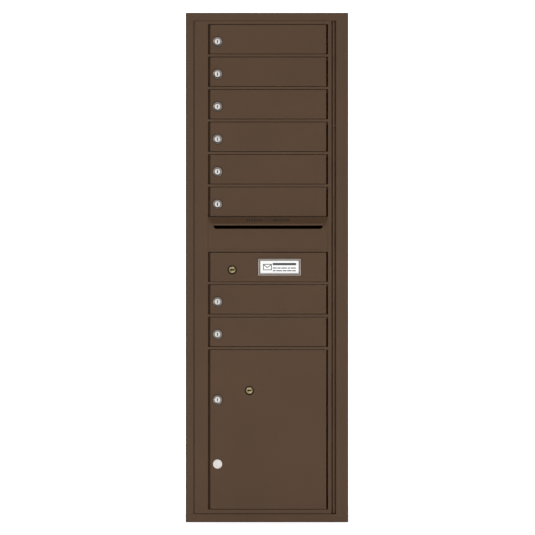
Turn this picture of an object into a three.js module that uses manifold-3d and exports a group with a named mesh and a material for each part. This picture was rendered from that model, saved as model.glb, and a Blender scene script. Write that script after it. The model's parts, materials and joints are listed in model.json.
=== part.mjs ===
// Recessed front-loading apartment mailbox: one column, fifteen 3.5 inch modules high.
// Eight letter compartments, an outgoing-mail compartment and one parcel locker sit behind a
// full-height master door, which swings on a continuous hinge inside a fixed trim frame.
//
// Millimetres, +Z up, front towards -Y, +X to the right of a person facing the unit.
// Pieces are laid out with y = 0 on the wall's surface and z = 0 on the cabinet's underside.
// The finished group is then shifted back so that its origin is the middle of that underside.

import * as THREE from "three";
import { mergeVertices } from "three/addons/utils/BufferGeometryUtils.js";
import Module from "manifold-3d";

const wasm = await Module();
wasm.setup();

// ---------------------------------------------------------------- driving dimensions

const INCH = 25.4;
const GAP = 0.3; // between pieces that rest on or are fastened to each other
const OVERLAP = 0.5; // by which two solids of one piece run into each other
const MODULE = 3.5 * INCH; // height of one module
const MODULE_COUNT = 15;
const RAIL_BELOW = 15.6; // from the cabinet's underside to the lowest module line
const RAIL_ABOVE = 11.9; // from the highest module line to the cabinet's top
const TOP_LINE = RAIL_BELOW + MODULE_COUNT * MODULE;

const CABINET_WIDTH = 16.25 * INCH;
const CABINET_DEPTH = 16 * INCH;
const CABINET_HEIGHT = TOP_LINE + RAIL_ABOVE;
const SHEET = 2; // aluminium sheet of the cabinet
const SHELF_SHEET = 1.6;
const SHELF_FRONT = 22; // shelves stop behind the lock cams and bolts
const FLANGE = 10; // turned-down edges of shelves and pans

const TRIM_WIDTH = 17.5 * INCH;
const TRIM_LAP = 16; // how far the trim reaches above and below the cabinet
const TRIM_FACE = -11; // front of the trim
const TRIM_SHEET = 2;
const TRIM_EDGE = 2; // rounding of the trim's outer edge
const TRIM_WINDOW = { left: -201.2, right: 188.6, bottom: 6.6, top: 1355 };
const TRIM_HEM = { back: 6, gap: 0.5 }; // folded inside the cabinet's sheets
const TRIM_STEP = { gap: 0.8, setBack: 2.4, thick: 2, past: 0.5 }; // beside the left stile

const FACE = -10; // front of the master door and of every leaf in it
const FRAME_BACK = 8; // back of the master door's stiles and mullions
const MASTER = { left: -197.8, right: 176.4, bottom: 7.9, top: 1354.3 };
const OPENING = { left: -161.3, right: 166.8 }; // between the stiles
const MULLION = 6.6; // visible height of a mullion
const REVEAL = 1.6; // gap above and below each leaf
const ARROW_PANEL_DROP = 0.6; // the arrow lock's panel sits low in its opening
const WALL = 2.5; // plate thickness of doors, panels and stiles
const RETURN = 2; // thickness of a leaf's turned-back edges

const LEAF = { left: -157.7, right: 162.4, back: 0 };
const LEAF_ROUND = 8; // roll of a leaf's left edge
const ROLL_STEPS = 4;
const HINGE_ROD = { x: 157.4, y: -5, r: 2 };
const HINGE_BLOCK = 10; // width of the solid edge that the rod runs through
const RUNNING = 0.4; // radial clearance round a rod or pin
const STOP = { reach: 5.8, front: 0.6, back: 2.1 }; // lip that the doors close against
const SIDE_STOP = { gap: 0.6, reach: 12 }; // cabinet flange that the master door closes against

const MASTER_HINGE = { x: 182.5, y: -6.25, r: 3.6, pin: 1.5, knuckles: 14, leaf: 1.5 };
const HINGE_END = 0.6; // from the hinge's ends to the master door's top and bottom
const LEAF_GAP = 0.8; // beside the hinge's fixed leaf
const JAMB_FLANGE = 16; // cabinet flange that the fixed leaf lies on

const KEY_LOCK = { x: -135.3, drop: 6.6, bezel: 13, rise: 2.5, barrel: 9.5, nut: 13.5, nutThick: 4.5 };
const KEY_PLUG = { r: 7.9, rise: 2.2, keywayHalf: 0.9, keywayReach: 4.3, keywayDepth: 4.8 };
const CAM = { front: 8.6, thick: 2.5, width: 14, reach: 31, nut: 5, nutThick: 2.5 };
const ARROW_LOCK = { plug: 9, recess: 1.5, hole: 12.5, travel: 11 };
const ARROW_SLOT = { halfX: 6, halfZ: 1.5, depth: 6 };
const STUD = { x: 35.7, z: 15.7, r: 3, depth: 0.4 }; // marks of the arrow lock's four studs
const BOLT = { front: 11, back: 15, half: 6, end: 14, tailWidth: 8, tailDrop: 6, forkGap: 0.5 };
const CASE = { halfX: 40, halfZ: 21, back: 20, roomRight: 26, roomLeft: 17, roomDrop: 14 };
const KEEPER = { reach: 10.5, wall: 2, side: 6, back: 5, room: 0.6 };
const DRAWN = { master: 7.5, parcel: 6 }; // from the door's or opening's edge to a drawn bolt's tip

const LETTER_DOOR_ROWS = [0, 1, 2, 3, 4, 5, 8, 9]; // module rows, counted from the top
const SLOT_ROW = 6;
const ARROW_ROW = 7;
const PARCEL_ROW = 10;
const SHELF_LINES = [1, 2, 3, 4, 5, 6, 8, 9, 10]; // no shelf inside the outgoing compartment
const MULLION_LINES = [1, 2, 3, 4, 5, 6, 7, 8, 9, 10];

const MAIL_SLOT = { left: -145.5, right: 152, bottom: 786.2, height: 19, round: 7 };
const HOOD = { lip: 795.2, reach: 14, lipHeight: 4.5, wall: 1.5, tuck: 15.5, brow: 1.6 };
const arrowLockPlace = { x: -95.1, z: 674.1 };
const LABEL = { x: 34.2, z: 681.6, width: 116, height: 45.4, rimX: 7, rimZ: 6, thick: 2.6 };
const LABEL_SEAT = { reach: 1.5, depth: 1.2 }; // rebate behind the label frame's rim
const CARD = { lap: 1.2, thick: 0.9 };
const BLANK_PLUG = { r: 12.6, rise: 1.8, stemStop: 2 };

const PARCEL_MODULES = MODULE_COUNT - PARCEL_ROW;
const PARCEL = {
  key: { x: -135.3, z: 318.8 },
  arrow: { x: -48.1, z: 344.2 },
  blank: { x: -135, z: 143.5 },
};

const ROUND = 18; // sides of a visible round shape
const SMALL_ROUND = 12; // sides of a rod, pin or bore

// ---------------------------------------------------------------- materials

function coated(color, roughness) {
  return new THREE.MeshStandardMaterial({ color, roughness, metalness: 0.25 });
}

function bare(color, roughness) {
  return new THREE.MeshStandardMaterial({ color, roughness, metalness: 1 });
}

const bronzePaint = coated(0x574537, 0.55);
const bareAluminium = bare(0xb9bcbe, 0.42);
const nickel = bare(0xc9c3ba, 0.28);
const brass = bare(0xb4a57d, 0.3);
const zincSteel = bare(0x8f9294, 0.45);
const steelCase = bare(0x6c675c, 0.5);
const silverPaint = coated(0xafa59e, 0.4);
const whiteCard = new THREE.MeshStandardMaterial({ color: 0xf4f4f2, roughness: 0.6 });

// ---------------------------------------------------------------- solids

function solidOf(geometry) {
  const plain = geometry.clone();
  plain.deleteAttribute("normal");
  plain.deleteAttribute("uv");
  const merged = mergeVertices(plain, 1e-4);
  return new wasm.Manifold(
    new wasm.Mesh({
      numProp: 3,
      vertProperties: new Float32Array(merged.attributes.position.array),
      triVerts: new Uint32Array(merged.index.array),
    }),
  );
}

function box(x0, x1, y0, y1, z0, z1) {
  const geometry = new THREE.BoxGeometry(x1 - x0, y1 - y0, z1 - z0);
  geometry.translate((x0 + x1) / 2, (y0 + y1) / 2, (z0 + z1) / 2);
  return solidOf(geometry);
}

// A cylinder along Y; it may have few sides, as a hexagon nut has.
function roundY(x, z, radius, y0, y1, sides = ROUND) {
  const geometry = new THREE.CylinderGeometry(radius, radius, y1 - y0, sides);
  geometry.translate(x, (y0 + y1) / 2, z);
  return solidOf(geometry);
}

function roundZ(x, y, radius, z0, z1, sides = SMALL_ROUND) {
  const geometry = new THREE.CylinderGeometry(radius, radius, z1 - z0, sides);
  geometry.rotateX(Math.PI / 2);
  geometry.translate(x, y, (z0 + z1) / 2);
  return solidOf(geometry);
}

// An outline in X and Z, extruded along Y.
function prismY(shape, y0, y1, curveSegments = 4) {
  const geometry = new THREE.ExtrudeGeometry(shape, {
    depth: y1 - y0,
    bevelEnabled: false,
    curveSegments,
  });
  geometry.rotateX(Math.PI / 2);
  geometry.translate(0, y1, 0);
  return solidOf(geometry);
}

// An outline in Y and Z, extruded along X.
function prismX(shape, x0, x1) {
  const geometry = new THREE.ExtrudeGeometry(shape, { depth: x1 - x0, bevelEnabled: false });
  const yToZToX = new THREE.Matrix4().makeBasis(
    new THREE.Vector3(0, 1, 0),
    new THREE.Vector3(0, 0, 1),
    new THREE.Vector3(1, 0, 0),
  );
  geometry.applyMatrix4(yToZToX);
  geometry.translate(x0, 0, 0);
  return solidOf(geometry);
}

// An outline in X and Y, extruded along Z.
function prismZ(shape, z0, z1, curveSegments) {
  const geometry = new THREE.ExtrudeGeometry(shape, {
    depth: z1 - z0,
    bevelEnabled: false,
    curveSegments,
  });
  geometry.translate(0, 0, z0);
  return solidOf(geometry);
}

function polygon(points) {
  return new THREE.Shape(points.map(([a, b]) => new THREE.Vector2(a, b)));
}

function join(...solids) {
  return solids.reduce((whole, solid) => whole.add(solid));
}

function cut(solid, ...tools) {
  return tools.reduce((rest, tool) => rest.subtract(tool), solid);
}

function geometryOf(solid) {
  const mesh = solid.getMesh();
  const geometry = new THREE.BufferGeometry();
  geometry.setAttribute("position", new THREE.BufferAttribute(mesh.vertProperties, 3));
  geometry.setIndex(new THREE.BufferAttribute(mesh.triVerts, 1));
  geometry.computeVertexNormals();
  return geometry;
}

const unit = new THREE.Group();

function place(name, geometry, material, x = 0, z = 0) {
  const mesh = new THREE.Mesh(geometry, material);
  mesh.name = name;
  mesh.position.set(x, 0, z);
  unit.add(mesh);
}

// The height of a module line, counted down from the highest, and of a leaf's centre.
function lineZ(line) {
  return TOP_LINE - line * MODULE;
}

function rowCentre(row, modules) {
  return lineZ(row + modules / 2);
}

const parcelCentre = rowCentre(PARCEL_ROW, PARCEL_MODULES);

// ---------------------------------------------------------------- cabinet

const insideX = CABINET_WIDTH / 2 - SHEET;
const panX = insideX - GAP;
const cabinetFront = TRIM_FACE + TRIM_SHEET + GAP; // the trim lies on the sheets' front edges
const backFront = CABINET_DEPTH - SHEET;

// The left side's inward flange stops the master door and backs up its bolt.
function leftSide() {
  const stopFront = FRAME_BACK + SIDE_STOP.gap;
  return join(
    box(-insideX - SHEET, -insideX, cabinetFront, CABINET_DEPTH, 0, CABINET_HEIGHT),
    box(-insideX - 1, -insideX + SIDE_STOP.reach, stopFront, stopFront + SHEET, SHEET + GAP + FLANGE,
      CABINET_HEIGHT - SHEET - GAP - FLANGE),
  );
}

// The right side's inward flange carries the fixed leaf of the master hinge.
function rightSide() {
  const flangeFront = MASTER_HINGE.y + MASTER_HINGE.r + GAP;
  return join(
    box(insideX, insideX + SHEET, cabinetFront, CABINET_DEPTH, 0, CABINET_HEIGHT),
    box(insideX - JAMB_FLANGE, insideX + 1, flangeFront, flangeFront + SHEET, SHEET + GAP + FLANGE,
      CABINET_HEIGHT - SHEET - GAP - FLANGE),
  );
}

// A pan is the cabinet's top or bottom: a sheet with two turned-in side flanges.
function pan(outerZ, inward) {
  const sheetZ = [outerZ, outerZ + inward * SHEET].sort((a, b) => a - b);
  const flangeZ = [outerZ, outerZ + inward * (SHEET + FLANGE)].sort((a, b) => a - b);
  const flange = (x0, x1) => box(x0, x1, SHELF_FRONT, backFront - GAP, ...flangeZ);
  return join(
    box(-panX, panX, cabinetFront, backFront - GAP, ...sheetZ),
    flange(-panX, -panX + SHEET),
    flange(panX - SHEET, panX),
  );
}

// A shelf has its sides and its front edge turned down.
function shelf() {
  const back = backFront - GAP;
  const half = SHELF_SHEET / 2;
  return join(
    box(-panX, panX, SHELF_FRONT, back, -half, half),
    box(-panX, -panX + SHELF_SHEET, SHELF_FRONT, back, -FLANGE, half),
    box(panX - SHELF_SHEET, panX, SHELF_FRONT, back, -FLANGE, half),
    box(-panX, panX, SHELF_FRONT, SHELF_FRONT + SHELF_SHEET, -FLANGE, half),
  );
}

function addCabinet() {
  place("cabinet_left_side", geometryOf(leftSide()), bareAluminium);
  place("cabinet_right_side", geometryOf(rightSide()), bareAluminium);
  place("cabinet_bottom", geometryOf(pan(0, 1)), bareAluminium);
  place("cabinet_top", geometryOf(pan(CABINET_HEIGHT, -1)), bareAluminium);
  const back = box(-panX, panX, backFront, CABINET_DEPTH, 0, CABINET_HEIGHT);
  place("cabinet_back", geometryOf(back), bareAluminium);
  const shelfGeometry = geometryOf(shelf());
  SHELF_LINES.forEach((line, i) => {
    place(`shelf_${i + 1}`, shelfGeometry, bareAluminium, 0, lineZ(line));
  });
}

// ---------------------------------------------------------------- trim frame

function rectangle(left, right, bottom, top) {
  return polygon([[left, bottom], [right, bottom], [right, top], [left, top]]);
}

function trimFrame() {
  const half = TRIM_WIDTH / 2;
  const low = -TRIM_LAP;
  const high = CABINET_HEIGHT + TRIM_LAP;
  const rounded = new THREE.ExtrudeGeometry(
    rectangle(-half + TRIM_EDGE, half - TRIM_EDGE, low + TRIM_EDGE, high - TRIM_EDGE),
    { depth: -TRIM_FACE, bevelThickness: TRIM_EDGE, bevelSize: TRIM_EDGE, bevelSegments: 3 },
  );
  rounded.rotateX(Math.PI / 2);
  rounded.translate(0, TRIM_EDGE, 0);
  const behindWall = box(-half - 1, half + 1, 0, -TRIM_FACE, low - 1, high + 1);
  const lip = TRIM_SHEET + 1;
  const hollow = box(-half + lip, half - lip, TRIM_FACE + TRIM_SHEET, 1, low + lip, high - lip);
  const { left, right, bottom, top } = TRIM_WINDOW;
  const window = box(left, right, TRIM_FACE - 1, 1, bottom, top);
  // a hem inside the cabinet's sheets; on the hinge side it stops short of the hinge leaf
  const hinge = MASTER_HINGE;
  const hemBack = TRIM_HEM.back;
  const hemX = insideX - TRIM_HEM.gap;
  const hemLow = SHEET + GAP;
  const hemHigh = CABINET_HEIGHT - SHEET - GAP;
  const hem = cut(
    box(-hemX, hemX, TRIM_FACE + 1, hemBack, hemLow, hemHigh),
    box(-hemX + TRIM_SHEET, hemX - TRIM_SHEET, TRIM_FACE, hemBack + 1, hemLow + TRIM_SHEET,
      hemHigh - TRIM_SHEET),
    box(0, hemX + 1, hinge.y + hinge.r - hinge.leaf - HINGE_END, hemBack + 1, hemLow - 1, hemHigh + 1),
  );
  // a step that closes the gap beside the master door's left stile
  const stepFront = TRIM_FACE + TRIM_STEP.setBack;
  const stepBack = stepFront + TRIM_STEP.thick;
  const step = box(left - TRIM_SHEET, MASTER.left - TRIM_STEP.gap, stepFront, stepBack,
    bottom - TRIM_STEP.past, top + TRIM_STEP.past);
  const shell = cut(solidOf(rounded), behindWall, hollow, window);
  return join(shell, hem, step);
}

// ---------------------------------------------------------------- master door

function leftStile() {
  const { bottom, top, left } = MASTER;
  const plate = box(left, OPENING.left, FACE, FACE + WALL, bottom, top);
  const outerWall = box(left, left + WALL, FACE, FRAME_BACK, bottom, top);
  const innerWall = box(OPENING.left - WALL, OPENING.left, FACE, FRAME_BACK, bottom, top);
  const stop = box(OPENING.left - 1, OPENING.left + STOP.reach, STOP.front, STOP.back, bottom, top);
  return join(plate, outerWall, innerWall, stop);
}

function rightStile() {
  const { bottom, top, right } = MASTER;
  const inner = OPENING.right;
  return cut(
    box(inner, right, FACE, FRAME_BACK, bottom, top),
    box(inner + RETURN, right - RETURN, FACE + WALL, FRAME_BACK - RETURN, bottom - 1, top + 1),
  );
}

function masterDoorFrame() {
  const bar = (z0, z1) => box(OPENING.left - 1, OPENING.right + 1, FACE, FRAME_BACK, z0, z1);
  const half = MULLION / 2;
  const mullions = MULLION_LINES.map((line) => bar(lineZ(line) - half, lineZ(line) + half));
  const bottomRail = bar(MASTER.bottom, lineZ(MODULE_COUNT) + half);
  const topRail = bar(lineZ(0) - half, MASTER.top);
  const rodBore = roundZ(HINGE_ROD.x, HINGE_ROD.y, HINGE_ROD.r + RUNNING,
    MASTER.bottom + RETURN, MASTER.top - RETURN);
  return cut(join(leftStile(), rightStile(), bottomRail, topRail, ...mullions), rodBore);
}

function hingeRod() {
  return roundZ(HINGE_ROD.x, HINGE_ROD.y, HINGE_ROD.r,
    MASTER.bottom + RETURN + GAP, MASTER.top - RETURN - GAP);
}

// A leaf is a shallow pan: rolled left edge, turned-back edges, and on the right a solid
// edge bored for the hinge rod. It is centred on z = 0.
function leaf(height) {
  const { left, right, back } = LEAF;
  const outline = new THREE.Shape();
  outline.moveTo(left, back);
  outline.lineTo(left, FACE + LEAF_ROUND);
  outline.absarc(left + LEAF_ROUND, FACE + LEAF_ROUND, LEAF_ROUND, Math.PI, Math.PI * 1.5);
  outline.absarc(right - RETURN, FACE + RETURN, RETURN, Math.PI * 1.5, Math.PI * 2);
  outline.lineTo(right, back);
  outline.closePath();
  const pocketHalf = height / 2 - RETURN;
  const rollX = left + LEAF_ROUND;
  const rollY = FACE + LEAF_ROUND;
  const pocket = join(
    box(rollX, right - HINGE_BLOCK, FACE + WALL, back + 1, -pocketHalf, pocketHalf),
    box(left + WALL, rollX + 1, rollY, back + 1, -pocketHalf, pocketHalf),
    roundZ(rollX, rollY, LEAF_ROUND - WALL, -pocketHalf, pocketHalf, 4 * ROLL_STEPS),
  );
  const bore = roundZ(HINGE_ROD.x, HINGE_ROD.y, HINGE_ROD.r + RUNNING, -height, height);
  return cut(prismZ(outline, -height / 2, height / 2, ROLL_STEPS), pocket, bore);
}

function leafHeight(modules) {
  return modules * MODULE - MULLION - 2 * REVEAL;
}

function barrelHole(x, z, radius) {
  return roundY(x, z, radius, FACE - 1, FACE + WALL + 1);
}

// ---------------------------------------------------------------- keyed cam lock

// Centred on its own axis at x = z = 0.
function keyLockBody() {
  const front = FACE - KEY_LOCK.rise;
  const nutFront = FACE + WALL + GAP;
  const bezel = roundY(0, 0, KEY_LOCK.bezel, front, FACE - GAP);
  const barrel = roundY(0, 0, KEY_LOCK.barrel, front + 1, FRAME_BACK);
  const nut = roundY(0, 0, KEY_LOCK.nut, nutFront, nutFront + KEY_LOCK.nutThick, 6);
  const bore = roundY(0, 0, KEY_PLUG.r + RUNNING, front - 1, FRAME_BACK + 1);
  return cut(join(bezel, barrel, nut), bore);
}

// The plug with its cam, which points down when the lock is open.
function keyPlug() {
  const front = FACE - KEY_PLUG.rise;
  const { keywayHalf, keywayReach, keywayDepth } = KEY_PLUG;
  const plug = roundY(0, 0, KEY_PLUG.r, front, CAM.front + OVERLAP);
  const keyway = box(-keywayHalf, keywayHalf, front - 1, FACE + keywayDepth, -keywayReach, keywayReach);
  const half = CAM.width / 2;
  const blade = new THREE.Shape();
  blade.moveTo(half, 0);
  blade.absarc(0, 0, half, 0, Math.PI);
  blade.lineTo(-half, -CAM.reach + half);
  blade.absarc(0, -CAM.reach + half, half, Math.PI, Math.PI * 2);
  const camBack = CAM.front + CAM.thick;
  const cam = prismY(blade, CAM.front, camBack, 6);
  const nut = roundY(0, 0, CAM.nut, camBack - OVERLAP, camBack + CAM.nutThick, 6);
  return join(cut(plug, keyway), cam, nut);
}

// ---------------------------------------------------------------- arrow lock

const crank = ARROW_LOCK.travel / Math.SQRT2; // a quarter turn moves the pin by the travel
const crankX = crank * Math.SQRT1_2;
const PIN = 2;
const DISC = crank + PIN + 1;
const DISC_THICK = 2.8;
const discBack = BOLT.front - 1.2;

// The case, the plug and the bolt are all centred on the plug's axis at x = z = 0.
function arrowCase() {
  const front = FACE + WALL + GAP;
  const block = box(-CASE.halfX, CASE.halfX, front, CASE.back, -CASE.halfZ, CASE.halfZ);
  const plugBore = roundY(0, 0, ARROW_LOCK.plug + RUNNING, front - 1, BOLT.back);
  const discBore = roundY(0, 0, DISC + RUNNING, discBack - DISC_THICK - 1, BOLT.front + 1);
  const channel = box(-CASE.halfX - 1, CASE.roomRight, BOLT.front - GAP, BOLT.back + GAP,
    -BOLT.half - GAP, BOLT.half + GAP);
  const tailRoom = box(-CASE.roomLeft, CASE.roomRight, BOLT.front - GAP, BOLT.back + GAP,
    -CASE.roomDrop, BOLT.half + GAP);
  return cut(block, plugBore, discBore, channel, tailRoom);
}

// A disc behind the plug carries the crank pin, low on the right when the bolt is drawn.
function arrowPlug() {
  const front = FACE + ARROW_LOCK.recess;
  const { halfX, halfZ, depth } = ARROW_SLOT;
  const plug = roundY(0, 0, ARROW_LOCK.plug, front, discBack - OVERLAP);
  const slot = box(-halfX, halfX, front - 1, front + depth, -halfZ, halfZ);
  const disc = roundY(0, 0, DISC, discBack - DISC_THICK, discBack);
  const pin = roundY(crankX, -crankX, PIN, discBack - OVERLAP, BOLT.back - OVERLAP, SMALL_ROUND);
  return join(cut(plug, slot), disc, pin);
}

// The bolt runs left from a forked tail that straddles the crank pin.
function arrowBolt(tip) {
  const { front, back, half, end, tailWidth, tailDrop, forkGap } = BOLT;
  const bar = box(tip, end, front, back, -half, half);
  const tail = box(crankX - tailWidth, end, front, back, -half - tailDrop, half);
  const forkHalf = PIN + forkGap;
  const fork = box(crankX - forkHalf, crankX + forkHalf, front - 1, back + 1,
    -half - tailDrop - 1, -crankX + forkHalf + 1);
  return cut(join(bar, tail), fork);
}

function studMarks(x, z) {
  const marks = [];
  for (const dx of [-1, 1]) {
    for (const dz of [-1, 1]) {
      marks.push(roundY(x + dx * STUD.x, z + dz * STUD.z, STUD.r,
        FACE - 1, FACE + STUD.depth, SMALL_ROUND));
    }
  }
  return marks;
}

// ---------------------------------------------------------------- fixed panels

function mailSlotOutline() {
  const { left, right, bottom, height, round } = MAIL_SLOT;
  const outline = new THREE.Shape();
  outline.moveTo(left, bottom + height);
  outline.lineTo(left, bottom + round);
  outline.absarc(left + round, bottom + round, round, Math.PI, Math.PI * 1.5);
  outline.absarc(right - round, bottom + round, round, Math.PI * 1.5, Math.PI * 2);
  outline.lineTo(right, bottom + height);
  outline.closePath();
  return outline;
}

function slotPanel() {
  const half = MULLION / 2;
  const low = lineZ(SLOT_ROW + 1) + half + GAP;
  const high = lineZ(SLOT_ROW) - half - GAP;
  const rodRoom = 4;
  const edgeRight = HINGE_ROD.x - HINGE_ROD.r - rodRoom;
  const left = OPENING.left + GAP;
  const plate = box(left, OPENING.right - GAP, FACE, FACE + WALL, low, high);
  const lowEdge = box(left, edgeRight, FACE + 1, LEAF.back, low, low + RETURN);
  const highEdge = box(left, edgeRight, FACE + 1, LEAF.back, high - RETURN, high);
  const slot = prismY(mailSlotOutline(), FACE - 1, LEAF.back + 1);
  return cut(join(plate, lowEdge, highEdge), slot);
}

// A visor over the slot: the sides close in towards its lip, and it is open below and behind.
function hoodSolid(inset) {
  const back = FACE - GAP + (inset ? 1 : 0);
  const top = lineZ(SLOT_ROW) + MULLION / 2 - inset;
  const lip = HOOD.lip - (inset ? 1 : 0);
  const front = FACE - GAP - HOOD.reach + inset;
  const profile = polygon([
    [back, lip],
    [front, lip],
    [front, HOOD.lip + HOOD.lipHeight - inset / 2],
    [FACE - GAP - HOOD.brow + inset, top],
    [back, top],
  ]);
  const outline = polygon([
    [OPENING.left + inset, top + 1],
    [OPENING.left + HOOD.tuck + inset, lip],
    [OPENING.right - HOOD.tuck - inset, lip],
    [OPENING.right - inset, top + 1],
  ]);
  const depthRoom = 1;
  return prismX(profile, OPENING.left, OPENING.right).intersect(
    prismY(outline, front - depthRoom, back + depthRoom),
  );
}

const arrowPanelCentre = rowCentre(ARROW_ROW, 1) - ARROW_PANEL_DROP;

function arrowPanel() {
  const { x, z } = arrowLockPlace;
  const localZ = z - arrowPanelCentre;
  return cut(leaf(leafHeight(1)), barrelHole(x, localZ, ARROW_LOCK.hole), ...studMarks(x, localZ));
}

function labelFrame() {
  const halfX = LABEL.width / 2;
  const halfZ = LABEL.height / 2;
  const back = FACE - GAP;
  const front = back - LABEL.thick;
  const windowX = halfX - LABEL.rimX;
  const windowZ = halfZ - LABEL.rimZ;
  const seatX = windowX + LABEL_SEAT.reach;
  const seatZ = windowZ + LABEL_SEAT.reach;
  return cut(
    box(-halfX, halfX, front, back, -halfZ, halfZ),
    box(-windowX, windowX, front - 1, back + 1, -windowZ, windowZ),
    box(-seatX, seatX, back - LABEL_SEAT.depth, back + 1, -seatZ, seatZ),
  );
}

function labelCard() {
  const halfX = LABEL.width / 2 - LABEL.rimX + CARD.lap;
  const halfZ = LABEL.height / 2 - LABEL.rimZ + CARD.lap;
  return box(-halfX, halfX, FACE - GAP - CARD.thick, FACE - GAP, -halfZ, halfZ);
}

// ---------------------------------------------------------------- master hinge

const hingeSpan = { low: MASTER.bottom + HINGE_END, high: MASTER.top - HINGE_END };

function knuckle(index) {
  const pitch = (hingeSpan.high - hingeSpan.low) / MASTER_HINGE.knuckles;
  const z0 = hingeSpan.low + index * pitch + GAP;
  const z1 = z0 + pitch - 2 * GAP;
  return { z0, z1, solid: roundZ(MASTER_HINGE.x, MASTER_HINGE.y, MASTER_HINGE.r, z0, z1) };
}

// Even knuckles belong to the cabinet's leaf, odd ones to the door's leaf.
function hingeLeaf(plate, firstKnuckle, tabX0, tabX1) {
  const { x, y, r, pin, leaf: thick, knuckles } = MASTER_HINGE;
  const tabBack = y + r;
  let solid = plate;
  for (let i = firstKnuckle; i < knuckles; i += 2) {
    const { z0, z1, solid: barrel } = knuckle(i);
    solid = join(solid, barrel, box(tabX0, tabX1, tabBack - thick, tabBack, z0, z1));
  }
  return cut(solid, roundZ(x, y, pin + RUNNING, hingeSpan.low - 1, hingeSpan.high + 1));
}

function fixedHingeLeaf() {
  const { x, y, r, leaf: thick } = MASTER_HINGE;
  const plateLeft = x + r + LEAF_GAP;
  const plateRight = insideX - LEAF_GAP;
  const plate = box(plateLeft, plateRight, y + r - thick, y + r, hingeSpan.low, hingeSpan.high);
  return hingeLeaf(plate, 0, x, plateLeft + 1);
}

function doorHingeLeaf() {
  const { x, y, r, leaf: thick } = MASTER_HINGE;
  const plateLeft = MASTER.right + GAP;
  const plate = box(plateLeft, plateLeft + thick, y + r - thick, FRAME_BACK,
    hingeSpan.low, hingeSpan.high);
  return hingeLeaf(plate, 1, plateLeft, x);
}

function masterHingePin() {
  const { x, y, pin } = MASTER_HINGE;
  return roundZ(x, y, pin, hingeSpan.low + GAP, hingeSpan.high - GAP);
}

// A keeper riveted to the cabinet's left side. The side's stop flange closes its front.
function boltKeeper() {
  const left = -insideX + GAP;
  const front = FRAME_BACK + SIDE_STOP.gap + SHEET + GAP;
  const { reach, wall, side, back, room } = KEEPER;
  const halfZ = BOLT.half + side;
  return cut(
    box(left, left + reach, front, BOLT.back + back, -halfZ, halfZ),
    box(left + wall, left + reach + 1, front - 1, BOLT.back + room,
      -BOLT.half - room, BOLT.half + room),
  );
}

// ---------------------------------------------------------------- parcel door

function parcelDoor() {
  const hole = (spot, radius) => barrelHole(spot.x, spot.z - parcelCentre, radius);
  return cut(
    leaf(leafHeight(PARCEL_MODULES)),
    hole(PARCEL.key, KEY_LOCK.barrel + GAP),
    hole(PARCEL.arrow, ARROW_LOCK.hole),
    hole(PARCEL.blank, KEY_LOCK.barrel + GAP),
    ...studMarks(PARCEL.arrow.x, PARCEL.arrow.z - parcelCentre),
  );
}

// A button that closes the spare lock hole, held by a stem through the plate.
function blankPlug() {
  const head = roundY(0, 0, BLANK_PLUG.r, FACE - BLANK_PLUG.rise, FACE - GAP);
  const stem = roundY(0, 0, KEY_LOCK.barrel, FACE - 1, LEAF.back - BLANK_PLUG.stemStop);
  return join(head, stem);
}

// ---------------------------------------------------------------- assembly

function addArrowLock(prefix, x, z, tip) {
  place(`${prefix}_arrow_lock_case`, geometryOf(arrowCase()), steelCase, x, z);
  place(`${prefix}_arrow_lock_plug`, geometryOf(arrowPlug()), brass, x, z);
  place(`${prefix}_arrow_lock_bolt`, geometryOf(arrowBolt(tip - x)), zincSteel, x, z);
}

function addMasterDoor() {
  place("master_door_frame", geometryOf(masterDoorFrame()), bronzePaint);
  place("door_hinge_rod", geometryOf(hingeRod()), steelCase);
  place("outgoing_slot_panel", geometryOf(slotPanel()), bronzePaint);
  const hood = cut(hoodSolid(0), hoodSolid(HOOD.wall));
  place("outgoing_slot_hood", geometryOf(hood), bronzePaint);
  place("arrow_lock_panel", geometryOf(arrowPanel()), bronzePaint, 0, arrowPanelCentre);
  place("label_frame", geometryOf(labelFrame()), silverPaint, LABEL.x, LABEL.z);
  place("label_card", geometryOf(labelCard()), whiteCard, LABEL.x, LABEL.z);
  place("master_hinge_door_leaf", geometryOf(doorHingeLeaf()), bronzePaint);
  place("master_hinge_cabinet_leaf", geometryOf(fixedHingeLeaf()), bronzePaint);
  place("master_hinge_pin", geometryOf(masterHingePin()), zincSteel);
  const drawnTip = MASTER.left + DRAWN.master;
  addArrowLock("master", arrowLockPlace.x, arrowLockPlace.z, drawnTip);
  place("master_bolt_keeper", geometryOf(boltKeeper()), zincSteel, 0, arrowLockPlace.z);
}

function addLetterDoors() {
  const lockZ = -KEY_LOCK.drop;
  const door = cut(leaf(leafHeight(1)), barrelHole(KEY_LOCK.x, lockZ, KEY_LOCK.barrel + GAP));
  const doorGeometry = geometryOf(door);
  const bodyGeometry = geometryOf(keyLockBody());
  const plugGeometry = geometryOf(keyPlug());
  LETTER_DOOR_ROWS.forEach((row, i) => {
    const z = rowCentre(row, 1);
    place(`letter_door_${i + 1}`, doorGeometry, bronzePaint, 0, z);
    place(`letter_lock_body_${i + 1}`, bodyGeometry, nickel, KEY_LOCK.x, z + lockZ);
    place(`letter_lock_plug_${i + 1}`, plugGeometry, nickel, KEY_LOCK.x, z + lockZ);
  });
}

function addParcelDoor() {
  place("parcel_door", geometryOf(parcelDoor()), bronzePaint, 0, parcelCentre);
  const { key, arrow, blank } = PARCEL;
  place("parcel_lock_body", geometryOf(keyLockBody()), nickel, key.x, key.z);
  place("parcel_lock_plug", geometryOf(keyPlug()), nickel, key.x, key.z);
  const drawnTip = OPENING.left + DRAWN.parcel;
  addArrowLock("parcel", arrow.x, arrow.z, drawnTip);
  place("parcel_blank_plug", geometryOf(blankPlug()), nickel, blank.x, blank.z);
}

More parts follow.
